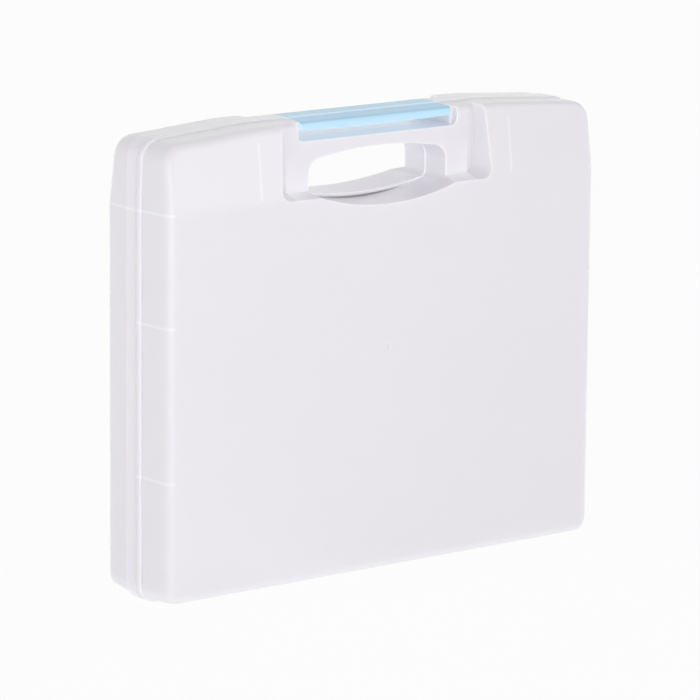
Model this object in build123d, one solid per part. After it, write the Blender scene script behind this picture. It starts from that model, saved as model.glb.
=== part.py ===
from build123d import *
from math import hypot, radians, tan
import os

# A document carry case for A4 papers, in millimetres. It stands upright on its bottom edge.
# X runs along the case, Y through its thickness and Z up. The front face is at -Y.
# The origin is on the floor under the middle of the case. Two half shells meet at the plane Y = 0.

# Overall size
case_width = 315.0
case_depth = 60.0
case_height = 270.0

# Moulding
wall = 1.8
seam_gap = 0.3
draft_angle = 1.2
face_rounding = 5.0

# Rim band, which stands proud of both shells beside the seam and carries the case
band_proud = 0.9
band_rear = 9.0
band_front = 4.5

# Outline seen from the front. The sides lean in above the crease.
shoulder_half_width = 88.0
shoulder_slope = 4.2
shoulder_radius = 160.0
top_corner_radius = 12.0
band_corner_radius = 12.0
body_corner_radius = 9.0
upper_side_lean = 2.0

# Side view: the bottom rises from the seam to the faces, and the upper panels lean in.
# Heights of the upper features are drops from the top edge.
bottom_slope = 6.5
crease_drop = 44.0
upper_panel_lean = 6.5
crease_radius = 45.0

# Handle: a recess in each face leaves a bar over the hand hole
handle_depth = 38.0
recess_half_width = 70.5
recess_drop = 41.0
recess_flare = 0.61
recess_ledge_fall = 0.27
recess_corner_radius = 6.5
handle_top_drop = 1.8
handle_rounding = 4.0

# Hand hole, whose lower edge is the finger scoop
hole_half_width = 50.5
hole_side_bottom_drop = 43.5
hole_bottom_drop = 51.6
rear_scoop_rise = 2.9
hole_side_top_drop = 24.2
hole_top_drop = 19.0
hole_top_radius = 9.0
hole_bottom_radius = 4.0

# Latch clip over the handle
clip_length = 110.0
clip_wall = 1.8
clip_front = 18.0
clip_shoulder_drop = 1.7
clip_crown_step = 0.6
clip_nose_radius = 3.5
clip_lip_radius = 1.6
clip_hook = 1.6
clip_lip_ends_drop = 6.1
clip_lip_middle_drop = 7.2
clip_end_gap = 0.3
clip_rib_thickness = 1.2
clip_rib_spacing = 22.0

# Latch pivot: a pin on each side of the rear handle, in a hole in each end of the clip
latch_pin_radius = 1.3
latch_pin_clearance = 0.08

# Bar under the clip, and the finger nest in the front bar
bar_top_gap = 3.7
nest_half_width = 58.7
nest_drop = 12.1
nest_depth = 2.6
nest_corner_radius = 4.0

# Bottom hinge: pins moulded between eyes on the rear shell, hooks on the front shell
hinge_pin_radius = 1.0
hinge_pin_clearance = 0.08
hinge_barrel_radius = 1.9
hinge_floor_clearance = 0.1
hinge_station_x = 95.0
hinge_eye_length = 7.0
hinge_hook_length = 21.4
hinge_side_gap = 0.3
hinge_mouth = 1.4
hinge_relief_half_width = 3.4
hinge_relief_rise = 0.3

# Tongue inside the rim of the front shell
tongue_thickness = 1.2
tongue_reach = 2.5
tongue_root = 5.0
tongue_clearance = 0.3
tongue_bottom = 16.0
tongue_handle_clearance = 4.0

# Ribs seen through the walls
rib_thickness = 1.2
panel_rib_x = 91.5
panel_rib_depth = 9.0
panel_rib_bottom_drop = 42.0
panel_rib_top_drop = 8.0
side_rib_heights = (74.2, 162.3)
side_rib_height = 3.0

# Mould gate mark in the middle of each face
gate_mark_height = 135.0
gate_mark_radius = 2.0
gate_mark_depth = 0.4

# Values worked out from the sizes above
half_width = case_width / 2
half_depth = case_depth / 2
handle_half = handle_depth / 2
clip_half = clip_length / 2
clip_space_half = clip_half + clip_end_gap
crease_height = case_height - crease_drop
clip_shoulder = case_height - clip_shoulder_drop
clip_lip_ends = case_height - clip_lip_ends_drop
clip_lip_middle = case_height - clip_lip_middle_drop
latch_y = clip_front - clip_nose_radius
latch_z = clip_shoulder - clip_nose_radius
bar_top = latch_z - clip_nose_radius - bar_top_gap
hinge_height = hinge_barrel_radius + hinge_floor_clearance
draft = tan(radians(draft_angle))
reach = case_height / 2

# Drawing plane for side views of the front half: depth from the seam to the right, height up
side_view = Plane(origin=(0, 0, 0), x_dir=(0, -1, 0), z_dir=(-1, 0, 0))


def along_x(face, half_length, middle=0.0):
    """Prism of a side view, as long to either side of its middle as half_length."""
    return Pos(middle, 0, 0) * extrude(side_view * face, half_length, both=True)


def through_front(face, start, end):
    """Prism of a front view, from one depth in front of the seam to another."""
    return Pos(0, -start, 0) * extrude(Plane.XZ * face, end - start)


def bar(radius, start, end, depth, height):
    """Round bar along X, given by its ends and by the depth and height of its axis."""
    circle = Pos(depth, height) * Circle(radius)
    return along_x(circle, (end - start) / 2, (start + end) / 2)


def outline(inset, base, bottom_radius):
    """Front view of the case above a base line, drawn in by inset at its sides and its top."""
    side = half_width - inset
    top = case_height - inset
    lean = tan(radians(upper_side_lean))
    slope = tan(radians(shoulder_slope))
    upper_height = top - (side - shoulder_half_width) * slope
    upper = side - (upper_height - crease_height) * lean
    points = [
        (-side, base),
        (side, base),
        (side, crease_height),
        (upper, upper_height),
        (shoulder_half_width, top),
        (-shoulder_half_width, top),
        (-upper, upper_height),
        (-side, crease_height),
    ]
    corner = top_corner_radius - inset
    crease = crease_radius
    radii = [bottom_radius, bottom_radius, crease, corner, shoulder_radius, shoulder_radius, corner, crease]
    return make_face(FilletPolyline(*points, radius=radii, close=True))


def shoulders(inset):
    """Front view of the top edge alone, wider than the case, drawn in by inset."""
    top = case_height - inset
    end = top - (case_width - shoulder_half_width) * tan(radians(shoulder_slope))
    points = [
        (-case_width, -reach),
        (case_width, -reach),
        (case_width, end),
        (shoulder_half_width, top),
        (-shoulder_half_width, top),
        (-case_width, end),
    ]
    radii = [0, 0, 0, shoulder_radius, shoulder_radius, 0]
    return make_face(FilletPolyline(*points, radius=radii, close=True))


def side_profile(shrink):
    """Side view of one half: rising bottom, flat face and leaning upper panel, drawn in by shrink."""
    face = half_depth - shrink
    rise = tan(radians(bottom_slope))
    seam_bottom = band_proud + shrink * hypot(1, rise)
    lean = radians(upper_panel_lean)
    crease = crease_height - shrink * tan(lean / 2)
    top = case_height + reach
    top_face = face - (top - crease) * tan(lean)
    points = [
        (-reach, seam_bottom - reach * rise),
        (face, seam_bottom + face * rise),
        (face, crease),
        (top_face, top),
        (-reach, top),
    ]
    radii = [0, 0, crease_radius - shrink, 0, 0]
    return make_face(FilletPolyline(*points, radius=radii, close=True))


def half_body(shrink):
    """Solid front half without its openings: drafted sides, leaning panel and rounded edges."""
    inset = band_proud + shrink
    side = half_width - inset
    body = along_x(side_profile(shrink), case_width) & through_front(shoulders(inset), 0, half_depth + wall)
    for sign in (-1, 1):
        for lean in (0, tan(radians(upper_side_lean))):
            side_plane = Plane(origin=(sign * side, 0, crease_height), z_dir=(sign, -draft, lean))
            body -= side_plane * Pos(0, 0, case_width) * Box(4 * case_width, 4 * case_width, 2 * case_width)
    for low, radius in ((True, body_corner_radius), (False, top_corner_radius)):
        corners = [
            edge
            for edge in body.edges()
            if abs(edge.tangent_at(0.5).Y) > 0.9
            and abs(edge.center().X) > half_width - top_corner_radius
            and abs(edge.center().Z - crease_height) > wall
            and (edge.center().Z < crease_height) == low
        ]
        body = fillet(corners, radius - shrink)
    front_faces = body.faces().filter_by(lambda face: face.normal_at().Y < -0.9)
    seams = [edge for face in front_faces for edge in face.edges()]
    border = [edge for edge in seams if seams.count(edge) == 1]
    return fillet(border, face_rounding - shrink)


def hand_hole(grow, scoop_rise=0.0):
    """Hand hole and finger scoop, cut through the whole thickness."""
    side = hole_half_width
    low = case_height - hole_side_bottom_drop
    high = case_height - hole_side_top_drop
    scoop = case_height - hole_bottom_drop + scoop_rise
    lower = ThreePointArc((-side, low), (0, scoop), (side, low))
    upper = ThreePointArc((side, high), (0, case_height - hole_top_drop), (-side, high))
    right = Line((side, low), (side, high))
    left = Line((-side, high), (-side, low))
    face = make_face([lower, right, upper, left])
    corners = face.vertices().sort_by(Axis.Y)
    face = fillet(corners[2:], hole_top_radius)
    face = fillet(face.vertices().sort_by(Axis.Y)[:2], hole_bottom_radius)
    if grow:
        face = offset(face, grow)
    return through_front(face, -wall, half_depth + wall)


def rear_hand_hole(grow):
    """Hand hole of the rear half, where the scoop is shallower than in the front half."""
    return hand_hole(grow, rear_scoop_rise)


def recess(grow):
    """Recess around the handle: its floor is the face of the handle, and its walls flare out."""
    side_shift = grow * hypot(1, recess_flare)
    floor_shift = grow * hypot(1, recess_ledge_fall)
    outlines = []
    for depth in (handle_half - grow, half_depth + wall):
        rise = depth - handle_half
        side = recess_half_width + recess_flare * rise + side_shift
        floor = case_height - recess_drop - recess_ledge_fall * rise - floor_shift
        top = case_height + reach
        points = [(-side, top), (-side, floor), (side, floor), (side, top)]
        radius = recess_corner_radius + grow
        line = FilletPolyline(*points, radius=[0, radius, radius, 0], close=True)
        outlines.append(Pos(0, -depth, 0) * (Plane.XZ * make_face(line)))
    return loft(outlines, ruled=True)


def handle_top(grow):
    """Waste above the sloping top and the rounded upper edge of the handle."""
    shoulder = case_height - handle_top_drop
    height = shoulder - handle_rounding
    points = [
        (band_rear, case_height - band_proud),
        (handle_half, shoulder),
        (handle_half, height),
        (reach, height),
        (reach, case_height + reach),
        (band_rear, case_height + reach),
    ]
    waste = make_face(FilletPolyline(*points, radius=[0, handle_rounding, 0, 0, 0, 0], close=True))
    if grow:
        waste = offset(waste, grow)
    return along_x(waste, recess_half_width + grow)


def clip_space(grow):
    """Room for the clip between the two bosses of the handle."""
    middle = bar_top - grow + reach / 2
    return along_x(Pos(0, middle) * Rectangle(case_depth, reach), clip_space_half + grow)


def nest(grow):
    """Finger nest in the front of the handle, under the lip of the clip."""
    side = nest_half_width + grow
    floor = case_height - nest_drop - grow
    top = case_height + reach
    points = [(-side, top), (-side, floor), (side, floor), (side, top)]
    radius = nest_corner_radius + grow
    face = make_face(FilletPolyline(*points, radius=[0, radius, radius, 0], close=True))
    return through_front(face, handle_half - nest_depth - grow, half_depth + wall)


def hinge_relief(grow):
    """Waste under the bottom edge at the seam, which lets the halves swing past each other."""
    apex = hinge_height + hinge_relief_rise
    fall = apex / hinge_relief_half_width
    points = [
        (-wall, apex + fall * wall),
        (hinge_relief_half_width, 0),
        (hinge_relief_half_width, -reach),
        (-wall, -reach),
    ]
    face = make_face(Polyline(*points, close=True))
    if grow:
        face = offset(face, grow)
    return along_x(face, case_width)


def half_shell(band_depth, cuts):
    """One half of the clamshell, drawn as the front half, with its rim band and hollow inside."""
    outside = half_body(0) + through_front(outline(0, 0, band_corner_radius), 0, band_depth)
    hollow = half_body(wall)
    for cut in cuts:
        outside -= cut(0)
        hollow -= cut(wall)
    shell = outside - hollow
    seam = Pos(0, 0, case_height / 2) * Box(2 * case_width, seam_gap, 2 * case_height)
    gate = Pos(0, -half_depth, gate_mark_height) * Rot(X=90) * Cylinder(gate_mark_radius, 2 * gate_mark_depth)
    return shell - seam - gate


def hinge_spans():
    """Ends along X of each hinge hook, and of the two eyes beside it."""
    hook = hinge_hook_length / 2
    eye = hook + hinge_side_gap + hinge_eye_length
    spans = []
    for middle in (-hinge_station_x, hinge_station_x):
        spans.append((middle - hook, middle + hook, middle - eye, middle + eye))
    return spans


def hinge_bar(radius, start, end):
    """Round bar on the hinge axis."""
    return bar(radius, start, end, 0, hinge_height)


def panel_ribs():
    """Upright ribs behind the upper panel, one to each side of the handle."""
    profile = side_profile(wall / 2) - side_profile(wall + panel_rib_depth)
    height = panel_rib_bottom_drop - panel_rib_top_drop
    middle = case_height - (panel_rib_top_drop + panel_rib_bottom_drop) / 2
    zone = Pos(half_depth, middle) * Rectangle(case_depth, height)
    rib = along_x(profile & zone, rib_thickness / 2)
    return Pos(-panel_rib_x, 0, 0) * rib + Pos(panel_rib_x, 0, 0) * rib


def side_ribs():
    """Level ribs across the inside of both side walls, rooted halfway into the wall."""
    ribs = []
    crest = half_width - band_proud - wall - side_rib_height
    for height in side_rib_heights:
        for side in (-1, 1):
            middle = (side * (crest + wall + side_rib_height), -tongue_root - half_depth, height)
            ribs.append(Pos(*middle) * Box(2 * (wall + side_rib_height), 2 * half_depth, rib_thickness))
    return half_body(wall / 2) & ribs


def tongue():
    """Tongue inside the front rim, down both sides from the handle, which enters the rear rim."""
    outer = band_proud + wall + tongue_clearance
    inner = outer + tongue_thickness
    base = tongue_bottom
    tip = outline(outer, base, 0) - outline(inner, base - wall, 0)
    root = outline(band_proud + wall / 2, base, 0) - outline(inner, base - wall, 0)
    ring = through_front(tip, -tongue_reach, tongue_root) + through_front(root, seam_gap / 2, tongue_root)
    handle = 2 * (recess_half_width + tongue_handle_clearance)
    return ring - Pos(0, 0, case_height) * Box(handle, case_depth, case_height)


def rear_shell():
    """Rear half: shell, hinge eyes with their pins, and the latch pins in the handle."""
    half = half_shell(band_rear, [rear_hand_hole, recess, handle_top, clip_space, hinge_relief])
    shell = mirror(half + panel_ribs(), about=Plane.XZ)
    for hook_start, hook_end, eye_start, eye_end in hinge_spans():
        gap = hinge_side_gap
        shell -= hinge_bar(hinge_barrel_radius + seam_gap, hook_start - gap, hook_end + gap)
        shell += hinge_bar(hinge_barrel_radius, eye_start, hook_start - gap)
        shell += hinge_bar(hinge_barrel_radius, hook_end + gap, eye_end)
        shell += hinge_bar(hinge_pin_radius, eye_start, eye_end)
    for side in (-1, 1):
        ends = sorted((side * (clip_half - clip_wall), side * (clip_space_half + wall / 2)))
        shell += bar(latch_pin_radius, ends[0], ends[1], -latch_y, latch_z)
    return shell


def front_shell():
    """Front half: shell, rim tongue, ribs, and hooks that snap over the hinge pins."""
    cuts = [hand_hole, recess, handle_top, clip_space, hinge_relief, nest]
    shell = half_shell(band_front, cuts) + panel_ribs() + side_ribs() + tongue()
    for hook_start, hook_end, eye_start, eye_end in hinge_spans():
        gap = hinge_side_gap
        room = hinge_barrel_radius + seam_gap
        shell -= hinge_bar(room, eye_start - gap, hook_start)
        shell -= hinge_bar(room, hook_end, eye_end + gap)
        shell += hinge_bar(hinge_barrel_radius, hook_start, hook_end)
        shell -= hinge_bar(hinge_pin_radius + hinge_pin_clearance, hook_start, hook_end)
        middle = (hook_start + hook_end) / 2
        rise = 2 * hinge_barrel_radius
        mouth = Box(hook_end - hook_start, hinge_mouth, rise)
        shell -= Pos(middle, 0, hinge_height + rise / 2) * mouth
    return shell


def clip_section():
    """Side view of the clip: a flat crown, a round rear edge and a lip at the front."""
    crown_edge = case_height - clip_crown_step
    points = [
        (-clip_front, latch_z - clip_nose_radius),
        (-clip_front, clip_shoulder),
        (-band_rear, crown_edge),
        (-band_rear, case_height),
        (band_front, case_height),
        (band_front, crown_edge),
        (clip_front, clip_shoulder),
        (clip_front, clip_lip_middle),
    ]
    nose = clip_nose_radius
    radii = [nose, nose, 0, 0, 0, 0, nose, clip_lip_radius]
    return make_face(FilletPolyline(*points, radius=radii, close=True))


def latch_clip():
    """Snap cover over the handle: a hollow cap with ribs, and a pin hole in each end wall."""
    section = clip_section()
    clip = along_x(section, clip_half)
    mouth_rear = -clip_front + clip_nose_radius + clip_hook
    mouth_front = clip_front - clip_wall - clip_hook
    mouth_height = latch_z - bar_top
    mouth = Pos((mouth_rear + mouth_front) / 2, latch_z - mouth_height / 2)
    cavity = offset(section, -clip_wall) + mouth * Rectangle(mouth_front - mouth_rear, mouth_height)
    rib_middles = [step * clip_rib_spacing for step in (-2, -1, 0, 1, 2)]
    edges = [-clip_half + clip_wall]
    for middle in rib_middles:
        edges += [middle - clip_rib_thickness / 2, middle + clip_rib_thickness / 2]
    edges.append(clip_half - clip_wall)
    for start, end in zip(edges[::2], edges[1::2]):
        clip -= along_x(cavity, (end - start) / 2, (start + end) / 2)
    floor = clip_lip_middle - reach / 4
    lip = ThreePointArc((-clip_half, clip_lip_ends), (0, clip_lip_middle), (clip_half, clip_lip_ends))
    sides = Polyline((clip_half, clip_lip_ends), (clip_half, floor), (-clip_half, floor), (-clip_half, clip_lip_ends))
    clip -= through_front(make_face([lip, sides]), mouth_front - clip_hook, half_depth)
    hole_radius = latch_pin_radius + latch_pin_clearance
    for side in (-1, 1):
        ends = sorted((side * (clip_half - 2 * clip_wall), side * (clip_half + clip_wall)))
        clip -= bar(hole_radius, ends[0], ends[1], -latch_y, latch_z)
    return clip


os.makedirs("parts", exist_ok=True)
export_step(rear_shell(), "parts/rear_shell.step")
export_step(front_shell(), "parts/front_shell.step")
export_step(latch_clip(), "parts/latch_clip.step")
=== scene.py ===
import bpy
import math
from mathutils import Matrix, Vector

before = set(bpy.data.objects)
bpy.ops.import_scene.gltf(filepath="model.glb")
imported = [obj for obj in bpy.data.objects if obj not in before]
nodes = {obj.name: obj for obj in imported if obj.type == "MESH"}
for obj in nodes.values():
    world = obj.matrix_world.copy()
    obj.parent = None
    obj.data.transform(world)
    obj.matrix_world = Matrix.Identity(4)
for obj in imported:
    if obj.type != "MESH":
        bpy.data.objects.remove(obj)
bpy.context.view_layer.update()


# Moulded skin. Both the shells and the clip come from steel moulds with a fine etched frost.
# The group gives a fine grain for the surface and a slow drift where the melt cooled unevenly.
def takes(tree, name, value=0.0):
    made = tree.interface.new_socket(name=name, in_out="INPUT", socket_type="NodeSocketFloat")
    made.default_value = value


def gives(tree, name, kind="NodeSocketFloat"):
    tree.interface.new_socket(name=name, in_out="OUTPUT", socket_type=kind)


def node(tree, kind, **settings):
    made = tree.nodes.new(kind)
    for name, value in settings.items():
        setattr(made, name, value)
    return made


def moulded_skin_group():
    grain_scale = 1400.0
    grain_detail = 2.0
    drift_scale = 9.0
    drift_detail = 3.0
    roughness_spread = 0.06
    tree = bpy.data.node_groups.new("moulded skin", "ShaderNodeTree")
    takes(tree, "Grain Scale", grain_scale)
    takes(tree, "Drift Scale", drift_scale)
    takes(tree, "Roughness")
    takes(tree, "Roughness Spread", roughness_spread)
    gives(tree, "Grain")
    gives(tree, "Drift")
    gives(tree, "Roughness")
    given = node(tree, "NodeGroupInput")
    result = node(tree, "NodeGroupOutput")
    place = node(tree, "ShaderNodeTexCoord")
    grain = node(tree, "ShaderNodeTexNoise")
    grain.inputs["Detail"].default_value = grain_detail
    drift = node(tree, "ShaderNodeTexNoise")
    drift.inputs["Detail"].default_value = drift_detail
    spread = node(tree, "ShaderNodeMapRange")
    low = node(tree, "ShaderNodeMath", operation="SUBTRACT")
    high = node(tree, "ShaderNodeMath", operation="ADD")
    link = tree.links.new
    for texture, scale in ((grain, "Grain Scale"), (drift, "Drift Scale")):
        link(place.outputs["Object"], texture.inputs["Vector"])
        link(given.outputs[scale], texture.inputs["Scale"])
    for edge in (low, high):
        link(given.outputs["Roughness"], edge.inputs[0])
        link(given.outputs["Roughness Spread"], edge.inputs[1])
    link(drift.outputs["Fac"], spread.inputs["Value"])
    link(low.outputs[0], spread.inputs["To Min"])
    link(high.outputs[0], spread.inputs["To Max"])
    link(grain.outputs["Fac"], result.inputs["Grain"])
    link(drift.outputs["Fac"], result.inputs["Drift"])
    link(spread.outputs["Result"], result.inputs["Roughness"])
    return tree


moulded_skin = moulded_skin_group()


# Painted glow. The emission paints light lines on the edges, and light over the shade of deep
# hollows. The group also rounds the sharp edges, as the mould leaves them.
def painted_glow_group():
    edge_radius = 0.0009
    flat_turn = 0.995
    sharp_turn = 0.85
    open_sky = 0.9
    hidden_sky = 0.41
    deepest_hollow = 0.7
    probes = 4
    tree = bpy.data.node_groups.new("painted edge and hollow light", "ShaderNodeTree")
    takes(tree, "Radius", edge_radius)
    takes(tree, "Edge Share")
    takes(tree, "Hollow Share")
    takes(tree, "Hollow Depth")
    gives(tree, "Light")
    gives(tree, "Hollow")
    gives(tree, "Normal", "NodeSocketVector")
    given = node(tree, "NodeGroupInput")
    result = node(tree, "NodeGroupOutput")
    rounding = node(tree, "ShaderNodeBevel", samples=probes)
    surface = node(tree, "ShaderNodeNewGeometry")
    turn = node(tree, "ShaderNodeVectorMath", operation="DOT_PRODUCT")
    edge = node(tree, "ShaderNodeMapRange")
    edge.inputs["From Min"].default_value = flat_turn
    edge.inputs["From Max"].default_value = sharp_turn
    sky = node(tree, "ShaderNodeAmbientOcclusion", samples=probes)
    hollow = node(tree, "ShaderNodeMapRange")
    hollow.inputs["From Min"].default_value = open_sky
    hollow.inputs["From Max"].default_value = hidden_sky
    hollow.inputs["To Max"].default_value = deepest_hollow
    hollow_light = node(tree, "ShaderNodeMath", operation="MULTIPLY")
    light = node(tree, "ShaderNodeMath", operation="MULTIPLY_ADD", use_clamp=True)
    link = tree.links.new
    link(given.outputs["Radius"], rounding.inputs["Radius"])
    link(rounding.outputs["Normal"], turn.inputs[0])
    link(surface.outputs["Normal"], turn.inputs[1])
    link(turn.outputs["Value"], edge.inputs["Value"])
    link(given.outputs["Hollow Depth"], sky.inputs["Distance"])
    link(sky.outputs["AO"], hollow.inputs["Value"])
    link(hollow.outputs["Result"], hollow_light.inputs[0])
    link(given.outputs["Hollow Share"], hollow_light.inputs[1])
    link(edge.outputs["Result"], light.inputs[0])
    link(given.outputs["Edge Share"], light.inputs[1])
    link(hollow_light.outputs[0], light.inputs[2])
    link(light.outputs[0], result.inputs["Light"])
    link(hollow.outputs["Result"], result.inputs["Hollow"])
    link(rounding.outputs["Normal"], result.inputs["Normal"])
    return tree


painted_glow = painted_glow_group()


# Painted light bands. Along a rib behind the wall, or a step in it, a soft light line is painted.
# A band is written as the axis across it, its place and half width on that axis, the axis
# along it, and its middle and half length there.
def painted_band_group():
    soft_border = 0.0008
    sides = (("Across", "Place", "Half Width"), ("Along", "Middle", "Half Length"))
    tree = bpy.data.node_groups.new("painted light band", "ShaderNodeTree")
    for side in sides:
        for name in side:
            takes(tree, name)
    gives(tree, "Band")
    given = node(tree, "NodeGroupInput")
    result = node(tree, "NodeGroupOutput")
    both = node(tree, "ShaderNodeMath", operation="MULTIPLY")
    link = tree.links.new
    for index, (coordinate, centre, reach) in enumerate(sides):
        away = node(tree, "ShaderNodeMath", operation="SUBTRACT")
        distance = node(tree, "ShaderNodeMath", operation="ABSOLUTE")
        past = node(tree, "ShaderNodeMath", operation="SUBTRACT")
        inside = node(tree, "ShaderNodeMapRange", interpolation_type="SMOOTHSTEP")
        inside.inputs["From Min"].default_value = soft_border
        inside.inputs["From Max"].default_value = 0.0
        link(given.outputs[coordinate], away.inputs[0])
        link(given.outputs[centre], away.inputs[1])
        link(away.outputs[0], distance.inputs[0])
        link(distance.outputs[0], past.inputs[0])
        link(given.outputs[reach], past.inputs[1])
        link(past.outputs[0], inside.inputs["Value"])
        link(inside.outputs["Result"], both.inputs[index])
    link(both.outputs[0], result.inputs["Band"])
    return tree


painted_light_band = painted_band_group()


# Moulded polypropylene. Light scatters a few millimetres deep in it, which gives its milky look.
# A thin smooth skin lies over the etched frost, and its emission is a faint painted glow.
plastic_ior = 1.49
scatter_length = 0.003
even_scatter = (1.0, 1.0, 1.0)
skin_roughness = 0.14
frost_strength = 0.25


def place_band(tree, axes, band):
    across, place, half_width, along, middle, half_length = band
    made = node(tree, "ShaderNodeGroup", node_tree=painted_light_band)
    made.inputs["Place"].default_value = place
    made.inputs["Half Width"].default_value = half_width
    made.inputs["Middle"].default_value = middle
    made.inputs["Half Length"].default_value = half_length
    tree.links.new(axes.outputs[across], made.inputs["Across"])
    tree.links.new(axes.outputs[along], made.inputs["Along"])
    return made.outputs["Band"]


def moulded_plastic(
    name, light_tone, deep_tone, roughness, gloss, grain_height,
    painted_glow_tone, painted_glow_strength, edge_share, hollow_share, hollow_depth,
    bands, band_share, liners=(), liner_share=0.0,
):
    material = bpy.data.materials.new(name)
    material.use_nodes = True
    tree = material.node_tree
    link = tree.links.new
    shader = tree.nodes["Principled BSDF"]
    shader.inputs["IOR"].default_value = plastic_ior
    shader.inputs["Subsurface Weight"].default_value = 1.0
    shader.inputs["Subsurface Radius"].default_value = even_scatter
    shader.inputs["Subsurface Scale"].default_value = scatter_length
    shader.inputs["Emission Strength"].default_value = painted_glow_strength
    shader.inputs["Coat Weight"].default_value = gloss
    shader.inputs["Coat Roughness"].default_value = skin_roughness
    shader.inputs["Coat IOR"].default_value = plastic_ior

    skin = node(tree, "ShaderNodeGroup", node_tree=moulded_skin)
    skin.inputs["Roughness"].default_value = roughness
    colour = node(tree, "ShaderNodeMix", data_type="RGBA")
    colour.inputs["A"].default_value = (*light_tone, 1.0)
    colour.inputs["B"].default_value = (*deep_tone, 1.0)
    link(skin.outputs["Drift"], colour.inputs["Factor"])
    link(colour.outputs["Result"], shader.inputs["Base Color"])
    link(skin.outputs["Roughness"], shader.inputs["Roughness"])

    glow_masks = node(tree, "ShaderNodeGroup", node_tree=painted_glow)
    glow_masks.inputs["Edge Share"].default_value = edge_share
    glow_masks.inputs["Hollow Share"].default_value = hollow_share
    glow_masks.inputs["Hollow Depth"].default_value = hollow_depth
    frost = node(tree, "ShaderNodeBump")
    frost.inputs["Strength"].default_value = frost_strength
    frost.inputs["Distance"].default_value = grain_height
    link(skin.outputs["Grain"], frost.inputs["Height"])
    link(glow_masks.outputs["Normal"], frost.inputs["Normal"])
    link(frost.outputs["Normal"], shader.inputs["Normal"])

    where = node(tree, "ShaderNodeTexCoord")
    axes = node(tree, "ShaderNodeSeparateXYZ")
    link(where.outputs["Object"], axes.inputs[0])
    # Painted light: the glow at edges and hollows, the painted bands and the painted fill of the
    # liners.
    light = glow_masks.outputs["Light"]
    for band in bands:
        added = node(tree, "ShaderNodeMath", operation="MULTIPLY_ADD", use_clamp=True)
        added.inputs[1].default_value = band_share
        link(place_band(tree, axes, band), added.inputs[0])
        link(light, added.inputs[2])
        light = added.outputs[0]
    for liner in liners:
        shared = node(tree, "ShaderNodeMath", operation="MULTIPLY")
        shared.inputs[1].default_value = liner_share
        added = node(tree, "ShaderNodeMath", operation="MULTIPLY_ADD", use_clamp=True)
        link(place_band(tree, axes, liner), shared.inputs[0])
        link(shared.outputs[0], added.inputs[0])
        link(glow_masks.outputs["Hollow"], added.inputs[1])
        link(light, added.inputs[2])
        light = added.outputs[0]
    painted_glow_colour = node(tree, "ShaderNodeMix", data_type="RGBA")
    painted_glow_colour.inputs["A"].default_value = (0.0, 0.0, 0.0, 1.0)
    painted_glow_colour.inputs["B"].default_value = (*painted_glow_tone, 1.0)
    link(light, painted_glow_colour.inputs["Factor"])
    link(painted_glow_colour.outputs["Result"], shader.inputs["Emission Color"])
    return material


def dress(cad_node, material):
    mesh = nodes[cad_node].data
    mesh.materials.clear()
    mesh.materials.append(material)


# Half shells. Both are injection moulded in frosted natural polypropylene, 1.8 mm thick.
# The melt is milky with a faint lavender cast. Light lines are painted on the crease and the
# ribs.
# Painted light fills the liner of the hand hole, so the scoop in it stays pale, not shaded.
shell_light = (0.87, 0.845, 0.915)
shell_deep = (0.85, 0.825, 0.90)
shell_painted_glow = (0.95, 1.0, 0.92)
rib_half_width = 0.0003
crease_height = 0.226
side_rib_heights = (0.0742, 0.1623)
side_wall_x = 0.157
side_rib_reach = 0.005
panel_rib_x = 0.0915
panel_rib_middle = 0.245
panel_rib_half = 0.016
hand_hole_painted_fill = ("Z", 0.231, 0.018, "X", 0.0, 0.066)


def side_painted_lines(height):
    return [
        ("Z", height, rib_half_width, "X", side * side_wall_x, side_rib_reach)
        for side in (-1, 1)
    ]


panel_painted_lines = [
    ("X", side * panel_rib_x, rib_half_width, "Z", panel_rib_middle, panel_rib_half)
    for side in (-1, 1)
]
rear_painted_lines = panel_painted_lines + side_painted_lines(crease_height)
front_painted_lines = rear_painted_lines + [line for height in side_rib_heights for line in side_painted_lines(height)]


def frosted_shell(name, lines):
    return moulded_plastic(
        name, shell_light, shell_deep, roughness=0.34, gloss=0.45, grain_height=0.00002,
        painted_glow_tone=shell_painted_glow, painted_glow_strength=0.36,
        edge_share=0.6, hollow_share=0.08, hollow_depth=0.02,
        bands=lines, band_share=0.17, liners=[hand_hole_painted_fill], liner_share=0.85,
    )


dress("rear_shell", frosted_shell("frosted polypropylene, rear", rear_painted_lines))
dress("front_shell", frosted_shell("frosted polypropylene, front", front_painted_lines))


# Latch clip. It is moulded in the same plastic, coloured a pale sky blue.
# It turns on two pins of the rear shell and snaps over both halves of the handle.
# Light is painted on its front lip and in its hollows, and a highlight along the step of its
# crown.
clip_light = (0.45, 0.69, 0.84)
clip_deep = (0.37, 0.63, 0.82)
clip_painted_glow = (1.0, 0.90, 0.80)
lip_painted_glow = ("Z", 0.2645, 0.0027, "X", 0.0, 0.056)
crown_painted_highlight = ("Y", -0.0045, 0.0002, "X", 0.0, 0.056)
blue_clip = moulded_plastic(
    "sky blue polypropylene", clip_light, clip_deep,
    roughness=0.3, gloss=0.15, grain_height=0.00001,
    painted_glow_tone=clip_painted_glow, painted_glow_strength=0.34,
    edge_share=0.15, hollow_share=1.2, hollow_depth=0.02,
    bands=[lip_painted_glow, crown_painted_highlight], band_share=0.45,
)
dress("latch_clip", blue_clip)


# Studio floor. It is plain white paper, lit from below, and it takes the case's faint shadow.
# The camera looks through it to the white surround, because the open front half swings below it.
floor_size = 6.0
floor_white = 0.86
floor_roughness = 0.9
floor_light = 0.92
shadow_share = 0.07

floor_mesh = bpy.data.meshes.new("floor")
half = floor_size / 2
corners = [(-half, -half, 0), (half, -half, 0), (half, half, 0), (-half, half, 0)]
floor_mesh.from_pydata(corners, [], [(0, 1, 2, 3)])
floor = bpy.data.objects.new("floor", floor_mesh)
bpy.context.scene.collection.objects.link(floor)


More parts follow.
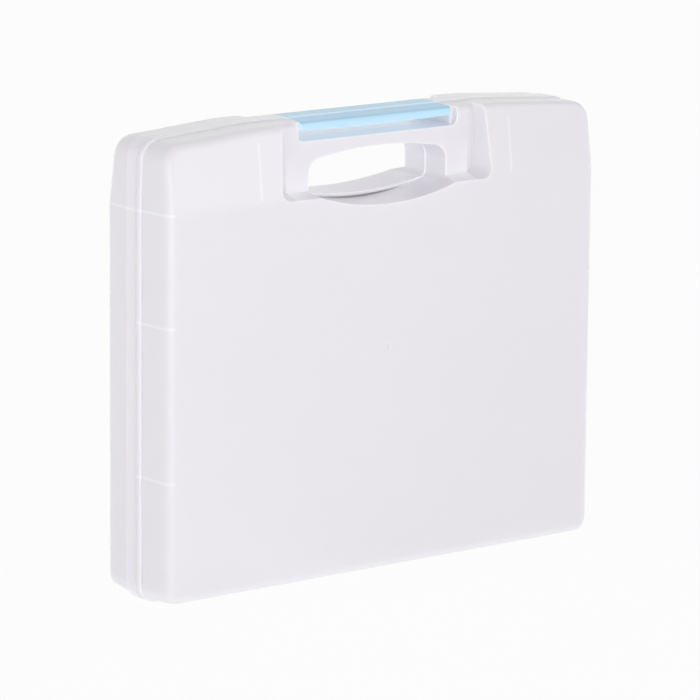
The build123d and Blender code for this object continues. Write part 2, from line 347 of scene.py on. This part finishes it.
def seen_white(tree):
    """1 for a ray that looks at the scene, straight or by way of gloss or clear plastic."""
    path = node(tree, "ShaderNodeLightPath")
    glossy = node(tree, "ShaderNodeMath", operation="MAXIMUM")
    seen = node(tree, "ShaderNodeMath", operation="MAXIMUM")
    tree.links.new(path.outputs["Is Camera Ray"], glossy.inputs[0])
    tree.links.new(path.outputs["Is Glossy Ray"], glossy.inputs[1])
    tree.links.new(glossy.outputs[0], seen.inputs[0])
    tree.links.new(path.outputs["Is Transmission Ray"], seen.inputs[1])
    return seen.outputs[0]


floor_paper = bpy.data.materials.new("white paper")
floor_paper.use_nodes = True
tree = floor_paper.node_tree
paper = tree.nodes["Principled BSDF"]
paper.inputs["Base Color"].default_value = (floor_white, floor_white, floor_white, 1.0)
paper.inputs["Roughness"].default_value = floor_roughness
lit = node(tree, "ShaderNodeEmission")
lit.inputs["Strength"].default_value = floor_light
clear = node(tree, "ShaderNodeBsdfTransparent")
lit_or_clear = node(tree, "ShaderNodeMixShader")
blend = node(tree, "ShaderNodeMixShader")
blend.inputs[0].default_value = 1.0 - shadow_share
tree.links.new(seen_white(tree), lit_or_clear.inputs[0])
tree.links.new(lit.outputs[0], lit_or_clear.inputs[1])
tree.links.new(clear.outputs[0], lit_or_clear.inputs[2])
tree.links.new(paper.outputs[0], blend.inputs[1])
tree.links.new(lit_or_clear.outputs[0], blend.inputs[2])
tree.links.new(blend.outputs[0], tree.nodes["Material Output"].inputs["Surface"])
floor_mesh.materials.append(floor_paper)


# White surround. It lights the case from all sides, less from above than from the horizon.
# A ray that looks at it, straight or in a gloss, sees plain white.
horizon_light = 0.88
zenith_light = 0.6
seen_light = 1.0

world = bpy.data.worlds.new("white surround")
bpy.context.scene.world = world
world.use_nodes = True
tree = world.node_tree
heading = node(tree, "ShaderNodeTexCoord")
parts = node(tree, "ShaderNodeSeparateXYZ")
fall = node(tree, "ShaderNodeMapRange")
fall.inputs["To Min"].default_value = horizon_light
fall.inputs["To Max"].default_value = zenith_light
level = node(tree, "ShaderNodeMix", data_type="FLOAT")
level.inputs["B"].default_value = seen_light
tree.links.new(heading.outputs["Generated"], parts.inputs[0])
tree.links.new(parts.outputs["Z"], fall.inputs["Value"])
tree.links.new(seen_white(tree), level.inputs["Factor"])
tree.links.new(fall.outputs["Result"], level.inputs["A"])
tree.links.new(level.outputs["Result"], tree.nodes["Background"].inputs["Strength"])
tree.nodes["Background"].inputs["Color"].default_value = (1.0, 1.0, 1.0, 1.0)


# Soft boxes. The left part of the case's upper panel mirrors the one at the front right.
# The near left one makes the case lighter towards its left, and the strip lights its right edges.
def softbox(name, place, target, size, power):
    lamp = bpy.data.lights.new(name, "AREA")
    lamp.shape = "RECTANGLE"
    lamp.size, lamp.size_y = size
    lamp.energy = power
    holder = bpy.data.objects.new(name, lamp)
    holder.location = place
    holder.rotation_euler = (Vector(target) - Vector(place)).to_track_quat("-Z", "Y").to_euler()
    holder.visible_camera = False
    bpy.context.scene.collection.objects.link(holder)


softbox(
    "front right panel", place=(0.77, -1.24, 0.33), target=(-0.1, 0, 0.24),
    size=(0.34, 0.36), power=0.65,
)
softbox(
    "near left panel", place=(-0.55, -0.75, 0.1), target=(0, 0, 0.12),
    size=(0.8, 0.6), power=2.3,
)
softbox(
    "high right strip", place=(1.0, -0.6, 1.0), target=(0, 0, 0.2),
    size=(0.3, 0.12), power=0.4,
)


# Camera. Its place and lens were fitted to the outline of the case in the photo.
# The azimuth turns it from straight ahead towards the left, and the roll tips the picture.
view_azimuth = math.radians(-38.42)
view_elevation = math.radians(11.38)
view_roll = math.radians(0.52)
view_distance = 2.616
aim_right = -0.00335
aim_up = -0.00688
aim_height = 0.135
image_size = 700
focal_pixels = 4500
sensor_width = 36.0
nearest_seen = 0.05

back = Vector((
    math.sin(view_azimuth) * math.cos(view_elevation),
    -math.cos(view_azimuth) * math.cos(view_elevation),
    math.sin(view_elevation),
))
level_right = Vector((math.cos(view_azimuth), math.sin(view_azimuth), 0))
level_up = back.cross(level_right)
right = level_right * math.cos(view_roll) + level_up * math.sin(view_roll)
up = level_up * math.cos(view_roll) - level_right * math.sin(view_roll)
place = Vector((0, 0, aim_height)) + right * aim_right + up * aim_up + back * view_distance

lens = bpy.data.cameras.new("camera")
lens.sensor_width = sensor_width
lens.lens = focal_pixels / image_size * sensor_width
lens.clip_start = nearest_seen
camera = bpy.data.objects.new("camera", lens)
camera.matrix_world = Matrix.Translation(place) @ Matrix((right, up, back)).transposed().to_4x4()
bpy.context.scene.collection.objects.link(camera)
bpy.context.scene.camera = camera
bpy.context.scene.view_settings.view_transform = "Standard"
